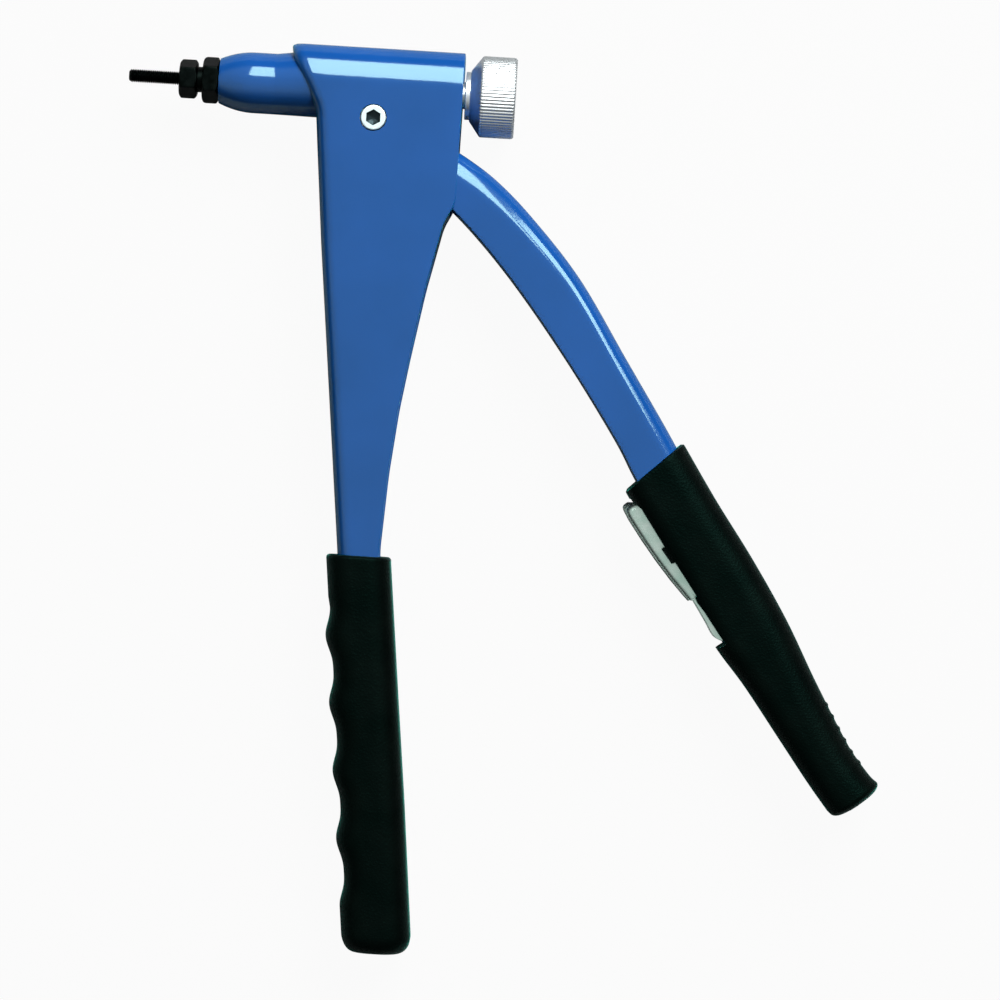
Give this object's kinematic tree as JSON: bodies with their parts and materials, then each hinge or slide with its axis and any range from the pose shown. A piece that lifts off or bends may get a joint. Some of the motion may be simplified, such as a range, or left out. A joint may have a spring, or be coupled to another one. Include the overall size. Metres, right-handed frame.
{
  "type": "rivet nut hand tool",
  "caption": "Two-handed lever tool for blind rivet nuts: channel head and fixed handle, squeezed lever, drawn threaded mandrel in an anvil, knurled knob and grip latch.",
  "frame": {"origin": "centre of the box's underside, with the tool lying on its side", "axes": "+X back along the spindle from the mandrel to the knob, +Y up the fixed handle towards the head, +Z out of the upper cheek"},
  "size_m": [0.2914, 0.3334, 0.03],
  "materials": {
    "blue_enamel": "gloss blue enamel on steel",
    "black_oxide_steel": "black oxide",
    "bright_steel": "bright turned steel",
    "zinc_plate": "zinc plated pressed steel",
    "bronze": "sintered bronze",
    "nylon": "natural nylon",
    "black_grip": "fine grained black grip"
  },
  "bodies": {
    "frame": {"housing": "blue_enamel", "nose_housing": "blue_enamel", "anvil": "black_oxide_steel", "anvil_lock_nut": "black_oxide_steel", "rear_guide_block": "blue_enamel", "rear_guide_bush": "bronze", "pivot_screw": "bright_steel", "pivot_nut": "bright_steel", "pivot_bush": "bright_steel", "pivot_washer_near": "nylon", "pivot_washer_far": "nylon", "fixed_grip": "black_grip", "return_spring": "bright_steel"},
    "lever_arm": {"lever": "blue_enamel", "lever_grip": "black_grip", "latch_pin": "bright_steel"},
    "latch_arm": {"latch": "zinc_plate"},
    "draw_collar": {"thrust_collar": "bright_steel", "thrust_washer": "bronze"},
    "spindle": {"draw_spindle": "bright_steel", "mandrel_coupling": "black_oxide_steel", "mandrel": "black_oxide_steel", "knob": "bright_steel", "knob_screw": "black_oxide_steel"}
  },
  "joints": [
    {"name": "lever_squeeze", "type": "hinge", "parent": "frame", "child": "lever_arm", "pos_m": [-0.05423, 0.14015, 0.015], "axis": [0, 0, -1], "range_deg": [0, 26], "stiffness_Nm_per_rad": 0.6, "springref_deg": -11.46},
    {"name": "draw_stroke", "type": "slide", "parent": "frame", "child": "draw_collar", "axis": [1, 0, 0], "range_m": [0, 0.0051], "deforming": ["return_spring"]},
    {"name": "knob_spin", "type": "hinge", "parent": "draw_collar", "child": "spindle", "pos_m": [-0.05423, 0.15145, 0.015], "axis": [1, 0, 0], "continuous": true},
    {"name": "latch_swing", "type": "hinge", "parent": "lever_arm", "child": "latch_arm", "pos_m": [0.08726, -0.0401, 0.015], "axis": [0, 0, 1], "range_deg": [0, 12]}
  ],
  "couplings": [
    {"joint": "draw_stroke", "follows": "lever_squeeze", "m_per_rad": 0.0111}
  ]
}
